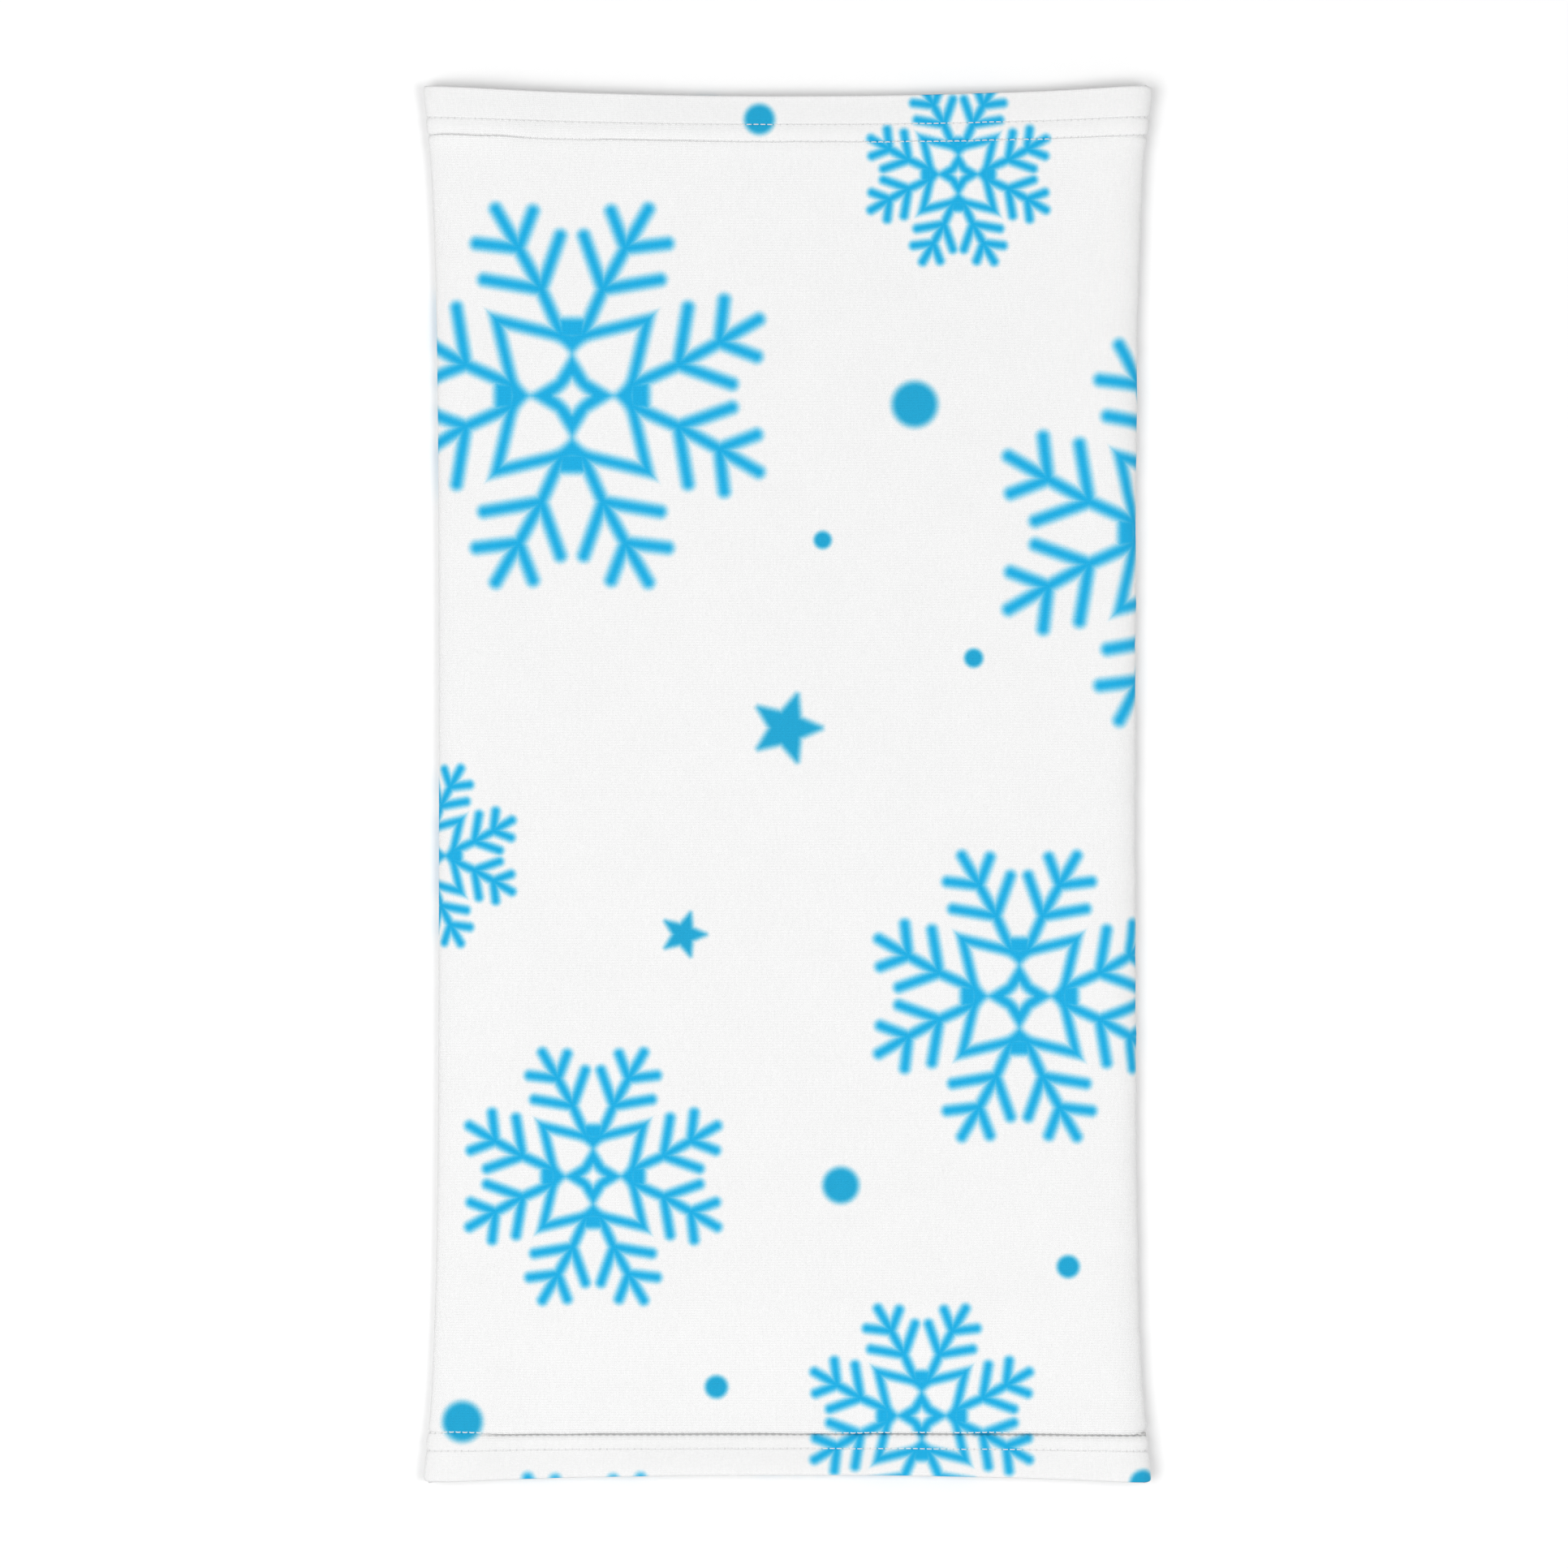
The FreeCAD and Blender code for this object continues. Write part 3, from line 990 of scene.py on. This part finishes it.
def grid_faces(columns_of, kept):
    """Faces between neighbouring rows; where one row has fewer columns, its steps rule."""
    faces = []
    for row in range(len(columns_of) - 1):
        first, second = columns_of[row], columns_of[row + 1]
        rule = first if len(first) <= len(second) else second
        spots_a = {c: i for i, c in enumerate(first)}
        spots_b = {c: i for i, c in enumerate(second)}
        for c0, c1 in zip(rule, rule[1:]):
            if not kept(row, c0, c1):
                continue
            upper = first[spots_a[c0] : spots_a[c1] + 1]
            lower = second[spots_b[c0] : spots_b[c1] + 1]
            face = [row * COLUMNS + c for c in upper]
            face += [(row + 1) * COLUMNS + c for c in reversed(lower)]
            faces.append(face)
    return faces


def open_edges(faces):
    """The edges that only one face has, each as it runs in that face."""
    seen = {}
    for face in faces:
        for a, b in zip(face, face[1:] + face[:1]):
            key = (a, b) if a < b else (b, a)
            seen[key] = None if key in seen else (a, b)
    return [edge for edge in seen.values() if edge]


def make_mesh(name, points, faces, materials, material_of=None, uv=None):
    """A smooth-shaded mesh from points in millimetres; uv holds one (u, v) array a map."""
    used = np.unique(np.concatenate([np.asarray(face) for face in faces]))
    place = np.full(len(points), -1)
    place[used] = np.arange(len(used))
    mesh = bpy.data.meshes.new(name)
    mesh.from_pydata((points[used] * MM).tolist(), [], [place[face].tolist() for face in faces])
    for material in materials:
        mesh.materials.append(material)
    if material_of is not None:
        mesh.polygons.foreach_set("material_index", material_of)
    mesh.polygons.foreach_set("use_smooth", [True] * len(mesh.polygons))
    loops = np.empty(len(mesh.loops), int)
    mesh.loops.foreach_get("vertex_index", loops)
    for map_name, values in (uv or {}).items():
        layer = mesh.uv_layers.new(name=map_name)
        layer.data.foreach_set("uv", (values[used][loops] * MM).ravel())
    mesh.update()
    piece = bpy.data.objects.new(name, mesh)
    bpy.context.collection.objects.link(piece)
    return piece


def build_jersey(sheet, printed, plain):
    """The whole cloth: printed side, plain side and the raw edges that join them."""
    rows = len(sheet.distance)
    every = list(range(COLUMNS))
    coarse = coarse_columns()
    first_lip = SPANS["upper_lip"].start
    last_lip = SPANS["lower_allowance"].start
    body = sheet.body[:, 0]
    fine = (sheet.outside & (sheet.distance > FINE_FROM) & (sheet.distance < FINE_TO))[:, 0]

    def kept(row, c0, c1):
        on_allowance = c0 < first_lip or c1 > last_lip
        return not on_allowance or (body[row] and body[row + 1])

    face_side = grid_faces([every if fine[r] else coarse for r in range(rows)], kept)
    back_side = grid_faces([coarse] * rows, kept)
    shift = rows * COLUMNS
    rims = [[b, a, a + shift, b + shift] for a, b in open_edges(face_side)]
    faces = face_side + [[i + shift for i in reversed(face)] for face in back_side] + rims
    material_of = [0] * len(face_side) + [1] * (len(back_side) + len(rims))

    points = np.vstack([sheet.points.reshape(-1, 3), sheet.plain_side().reshape(-1, 3)])
    print_map = np.stack([sheet.u, sheet.v], axis=-1).reshape(-1, 2)
    knit_map = np.stack([sheet.knit_u, sheet.knit_v], axis=-1).reshape(-1, 2)
    uv = {"print": np.vstack([print_map] * 2), "knit": np.vstack([knit_map] * 2)}
    return make_mesh("jersey_panel", points, faces, (printed, plain), material_of, uv)


# ---- threads -----------------------------------------------------------------------------

THREAD_SIDES = 6


def strand(name, path, up, radius, closed, material):
    """One continuous thread along a path; up is a side direction for each point."""
    if closed:
        along = np.roll(path, -1, axis=0) - np.roll(path, 1, axis=0)
    else:
        along = np.gradient(path, axis=0)
    along /= np.linalg.norm(along, axis=1, keepdims=True)
    side = np.cross(along, up)
    side /= np.linalg.norm(side, axis=1, keepdims=True)
    top = np.cross(side, along)
    turns = np.arange(THREAD_SIDES) * 2 * math.pi / THREAD_SIDES
    rings = (path[:, None, :] + radius[:, None, None]
             * (np.cos(turns)[None, :, None] * top[:, None, :]
                + np.sin(turns)[None, :, None] * side[:, None, :]))
    count = len(path)
    steps = np.linalg.norm(np.diff(path, axis=0), axis=1)
    run = np.concatenate([[0.0], np.cumsum(steps)])
    faces = []
    for i in range(count if closed else count - 1):
        a, b = i * THREAD_SIDES, (i + 1) % count * THREAD_SIDES
        for j in range(THREAD_SIDES):
            k = (j + 1) % THREAD_SIDES
            faces.append([a + j, a + k, b + k, b + j])
    if not closed:
        last = (count - 1) * THREAD_SIDES
        faces.append(list(range(THREAD_SIDES))[::-1])
        faces.append([last + j for j in range(THREAD_SIDES)])
    around = np.arange(THREAD_SIDES) / THREAD_SIDES
    uv = np.stack(np.broadcast_arrays(run[:, None], around[None, :]), axis=-1).reshape(-1, 2)
    return make_mesh(name, rings.reshape(-1, 3), faces, (material,), uv={"thread": uv})


def row_at(sheet, top, distance, inside):
    """The grid row at a distance from one end, on the outside or on the turned-in cloth."""
    which = (sheet.top[:, 0] == top) & ((sheet.inset[:, 0] > CLOTH) == inside)
    rows = np.nonzero(which)[0]
    return rows[np.argmin(abs(sheet.distance[rows, 0] - distance))]


def on_row(sheet, normals, row, u):
    """Points and normals on a row at cloth coordinates u."""
    span = slice(SPANS["upper_lip"].start, SPANS["lower_allowance"].start + 1)
    known = -sheet.u[row, span]
    points, ups = (
        np.stack([np.interp(-u, known, values[row, span, k]) for k in range(3)], axis=-1)
        for values in (sheet.points, normals)
    )
    return points, ups / np.linalg.norm(ups, axis=1, keepdims=True)


# Height of a needle thread over the cloth through one stitch, from hole to hole
STITCH_SHARES = np.array([0.0, 0.14, 0.26, 0.42, 0.58, 0.74, 0.86])
STITCH_HEIGHTS = np.array([-0.66, -0.20, 0.12, 0.20, 0.20, 0.12, -0.20])


def hole_numbers(sheet, row):
    """The numbers of a row's needle holes; a hole lies at PITCH times its number."""
    span = slice(SPANS["upper_lip"].start, SPANS["lower_allowance"].start + 1)
    high, low = sheet.u[row, span].max(), sheet.u[row, span].min()
    first = math.floor(high / PITCH - 0.5)
    last = math.ceil(low / PITCH + 0.5)
    return np.arange(first, last - 1, -1.0)


def hem_needle_thread(sheet, normals, top, distance, name, material):
    """One needle thread of a hem: over the cloth from hole to hole, all round the tube."""
    toward_body = LIP_OFFSET if distance == INNER_ROW else 0.0
    row = row_at(sheet, top, distance + toward_body, inside=False)
    holes = hole_numbers(sheet, row)
    u = ((holes[:, None] - STITCH_SHARES[None, :]) * PITCH).ravel()
    points, ups = on_row(sheet, normals, row, u)
    height = np.tile(STITCH_HEIGHTS, len(holes))
    underneath = ups[:, 2] < -0.5
    height = np.where(underneath, np.minimum(height, PRESSED_IN), height)
    radius = np.where(height < TIGHT_BELOW, TIGHT_RADIUS, HEM_THREAD / 2)
    wander = 0.05 * np.sin(u / 5.3) + 0.04 * np.sin(u / 2.1)
    path = points + ups * height[:, None] + np.array([0, 1.0, 0]) * wander[:, None]
    return strand(name, path, ups, radius, True, material)


def hem_looper_thread(sheet, normals, top, name, material):
    """Crosses between the two needle rows on the turned-in cloth, with a loop at each."""
    outer = row_at(sheet, top, OUTER_ROW, inside=True)
    inner = row_at(sheet, top, INNER_ROW, inside=True)
    holes = hole_numbers(sheet, inner)
    shares = np.array([0.0, 0.12, 0.3, 0.5, 0.62, 0.8])
    across = np.array([-0.03, 0.0, 0.5, 1.03, 1.0, 0.5])
    u = ((holes[:, None] - shares[None, :]) * PITCH).ravel()
    mix = np.tile(across, len(holes))[:, None]
    at_outer, up_outer = on_row(sheet, normals, outer, u)
    at_inner, up_inner = on_row(sheet, normals, inner, u)
    ups = up_outer * (1 - mix) + up_inner * mix
    path = at_outer * (1 - mix) + at_inner * mix + ups * 0.2
    return strand(name, path, ups, 0 * u + THREAD / 2, True, material)


def seam_stations():
    """y of evenly spaced points along the allowance, whole stitches only."""
    reach = LENGTH / 2 - HEM_DEPTH - 2.0 - max(TOP_DIP, BOTTOM_DIP)
    count = int(2 * reach / SEAM_PITCH)
    start = -count * SEAM_PITCH / 2
    return start + np.arange(count * SEAM_STEPS + 1) * SEAM_PITCH / SEAM_STEPS


def seam_side(y):
    """x of the seam line at y."""
    return half_width(y) - LIP


def seam_needle_thread(distance, name, material):
    """A needle thread of the overlock on top of the allowance."""
    y = seam_stations()
    cycle = np.array([-0.75, -0.05, 0.16, 0.19, 0.16, -0.05])
    height = np.append(np.tile(cycle, len(y) // SEAM_STEPS), cycle[0])
    z = EDGE_HEIGHT + SEAM_GAP + SHEET + height
    path = np.stack([seam_side(y) - distance, y, z], axis=-1)
    up = np.tile([1.0, 0.0, 0.0], (len(y), 1))
    radius = np.where(height < TIGHT_BELOW, TIGHT_RADIUS, THREAD / 2)
    return strand(name, path, up, radius, False, material)


def seam_looper_thread(above, name, material):
    """A looper thread of the overlock: over one face of the allowance and round its edge."""
    y = seam_stations()
    side = 1 if above else -1
    near = SEAM_ROW if above else SEAM_ROW + SEAM_GAUGE
    cycle_reach = np.array([0.0, 0.08, 0.5, 1.0, 1.0, 0.5])
    cycle_height = np.array([1.0, 1.0, 1.0, 0.85, 0.0, 1.0])
    count = len(y) // SEAM_STEPS
    share = np.append(np.tile(cycle_reach, count), cycle_reach[0])
    level = np.append(np.tile(cycle_height, count), cycle_height[0])
    edge = ALLOWANCE + 0.22
    x = seam_side(y) - near - share * (edge - near)
    z = EDGE_HEIGHT + side * level * (SEAM_GAP + SHEET + 0.2)
    path = np.stack([x, y, z], axis=-1)
    up = np.tile([0.0, 0.0, 1.0], (len(y), 1)) + np.array([0.3, 0.0, 0.0])
    return strand(name, path, up, 0 * y + THREAD / 2, False, material)


# ---- the floor ---------------------------------------------------------------------------

FLOOR_REACH = 4.0
FLOOR_GAP = 0.00005


def add_floor():
    mesh = bpy.data.meshes.new("floor")
    corners = [(x, y, cad_low.z - FLOOR_GAP) for x, y in
               ((-FLOOR_REACH, -FLOOR_REACH), (FLOOR_REACH, -FLOOR_REACH),
                (FLOOR_REACH, FLOOR_REACH), (-FLOOR_REACH, FLOOR_REACH))]
    mesh.from_pydata(corners, [], [(0, 1, 2, 3)])
    mesh.materials.append(floor_material())
    floor = bpy.data.objects.new("floor", mesh)
    bpy.context.collection.objects.link(floor)


# ---- the scene ---------------------------------------------------------------------------


def dress(piece, slot, *nodes):
    """Fixes a piece to the CAD body in place of its CAD nodes; the colour slot is not used."""
    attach(piece, "root")
    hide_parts(*nodes)


def build_threads(sheet, material):
    normals = sheet.normals()
    for end, top in (("top", True), ("bottom", False)):
        for row, distance in (("outer", OUTER_ROW), ("inner", INNER_ROW)):
            node = f"{end}_hem_{row}_needle_thread"
            name = f"{end}_{row}_needle_thread"
            thread = hem_needle_thread(sheet, normals, top, distance, name, material)
            dress(thread, "white_thread", node)
        looper = hem_looper_thread(sheet, normals, top, f"{end}_looper_thread", material)
        dress(looper, "white_thread", f"{end}_hem_looper_thread")
    for row, distance in (("left", SEAM_ROW), ("right", SEAM_ROW + SEAM_GAUGE)):
        thread = seam_needle_thread(distance, f"seam_{row}_needle_thread", material)
        dress(thread, "white_thread", f"side_seam_{row}_needle_thread")
    for level, above in (("upper", True), ("lower", False)):
        thread = seam_looper_thread(above, f"seam_{level}_looper_thread", material)
        dress(thread, "white_thread", f"side_seam_{level}_looper_thread")


def main():
    bpy.context.scene.view_settings.view_transform = "Standard"
    add_camera()
    add_world(SKY)
    for light in LIGHTS:
        add_area_light(*light)
    add_floor()

    sheet = Sheet()
    printed = jersey("printed_jersey", WHITE, 1.0, PRINTED_BUMP)
    plain = jersey("plain_jersey", PLAIN_WHITE, SHOW_THROUGH, PLAIN_BUMP)
    panel = build_jersey(sheet, printed, plain)
    dress(panel, "printed_jersey", "front_panel", "back_panel", "side_seam_allowance",
          "top_hem_turned_in", "bottom_hem_turned_in")
    build_threads(sheet, thread_material())


main()
